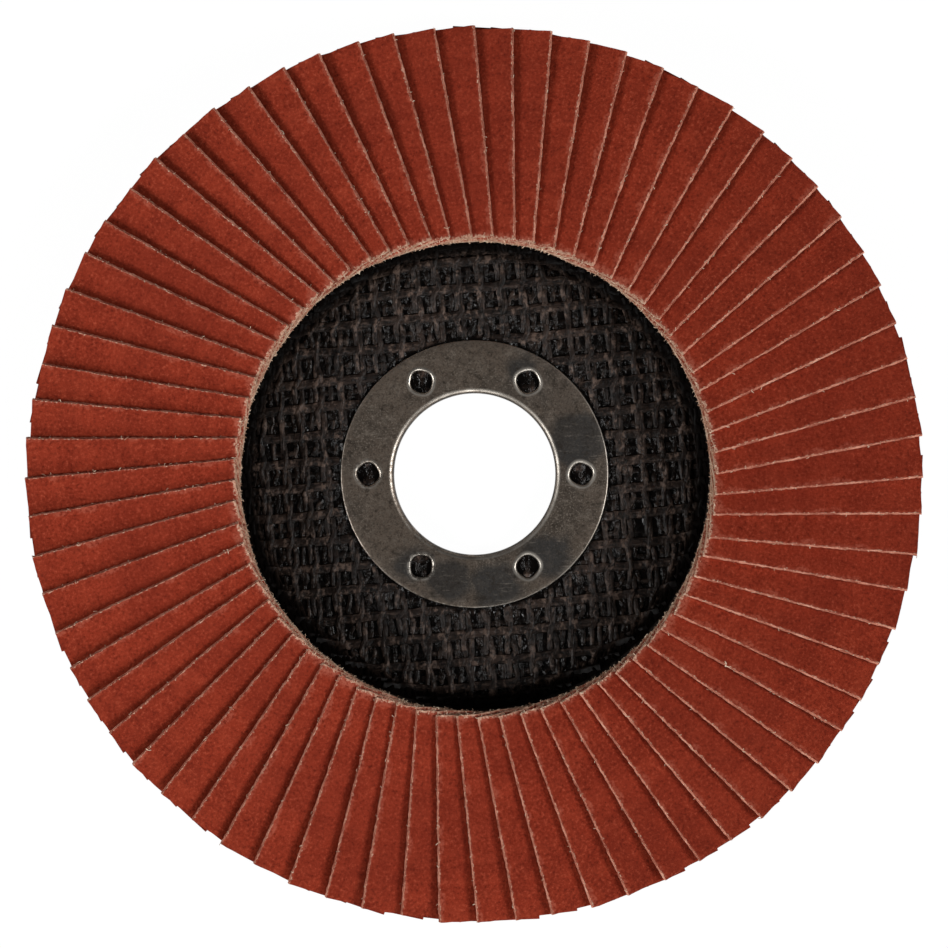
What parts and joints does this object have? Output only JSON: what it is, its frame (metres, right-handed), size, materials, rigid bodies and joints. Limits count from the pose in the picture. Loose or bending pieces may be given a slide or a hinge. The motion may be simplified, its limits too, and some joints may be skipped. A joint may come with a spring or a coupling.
{
  "type": "flap disc",
  "caption": "Flap disc for an angle grinder: overlapping rectangles of abrasive cloth glued in a shingled ring on a dished glass-fibre plate with a steel-lined bore.",
  "frame": {"origin": "on the bore's axis, at the hub's back face, which is the lowest point of the disc as it lies", "axes": "+Z along the bore's axis towards the working side with the flaps; +X through one of the ring's punched holes"},
  "size_m": [0.122, 0.122, 0.0126],
  "materials": {
    "ring_steel": "dull stamped steel with brown mottling and bright edges",
    "plate_resin": "black phenolic resin over glass cloth, satin",
    "mesh_resin": "open-weave glass mesh in glossy black resin",
    "flap_adhesive": "dark brown cured resin, uneven",
    "abrasive_cloth": "red-brown resin-bonded grit on tan cloth with frayed cut edges"
  },
  "bodies": {
    "root": {"centre_ring": "ring_steel", "backing_plate": "plate_resin", "front_mesh": "mesh_resin", "adhesive_bed": "flap_adhesive", "flap_pair_01": "abrasive_cloth", "flap_pair_02": "abrasive_cloth", "flap_pair_03": "abrasive_cloth", "flap_pair_04": "abrasive_cloth", "flap_pair_05": "abrasive_cloth", "flap_pair_06": "abrasive_cloth", "flap_pair_07": "abrasive_cloth", "flap_pair_08": "abrasive_cloth", "flap_pair_09": "abrasive_cloth", "flap_pair_10": "abrasive_cloth", "flap_pair_11": "abrasive_cloth", "flap_pair_12": "abrasive_cloth", "flap_pair_13": "abrasive_cloth", "flap_pair_14": "abrasive_cloth", "flap_pair_15": "abrasive_cloth", "flap_pair_16": "abrasive_cloth", "flap_pair_17": "abrasive_cloth", "flap_pair_18": "abrasive_cloth", "flap_pair_19": "abrasive_cloth", "flap_pair_20": "abrasive_cloth", "flap_pair_21": "abrasive_cloth", "flap_pair_22": "abrasive_cloth", "flap_pair_23": "abrasive_cloth", "flap_pair_24": "abrasive_cloth", "flap_pair_25": "abrasive_cloth", "flap_pair_26": "abrasive_cloth", "flap_pair_27": "abrasive_cloth", "flap_pair_28": "abrasive_cloth", "flap_pair_29": "abrasive_cloth", "flap_pair_30": "abrasive_cloth", "flap_pair_31": "abrasive_cloth", "flap_pair_32": "abrasive_cloth", "flap_pair_33": "abrasive_cloth", "flap_pair_34": "abrasive_cloth", "flap_pair_35": "abrasive_cloth", "flap_pair_36": "abrasive_cloth"}
  },
  "joints": []
}
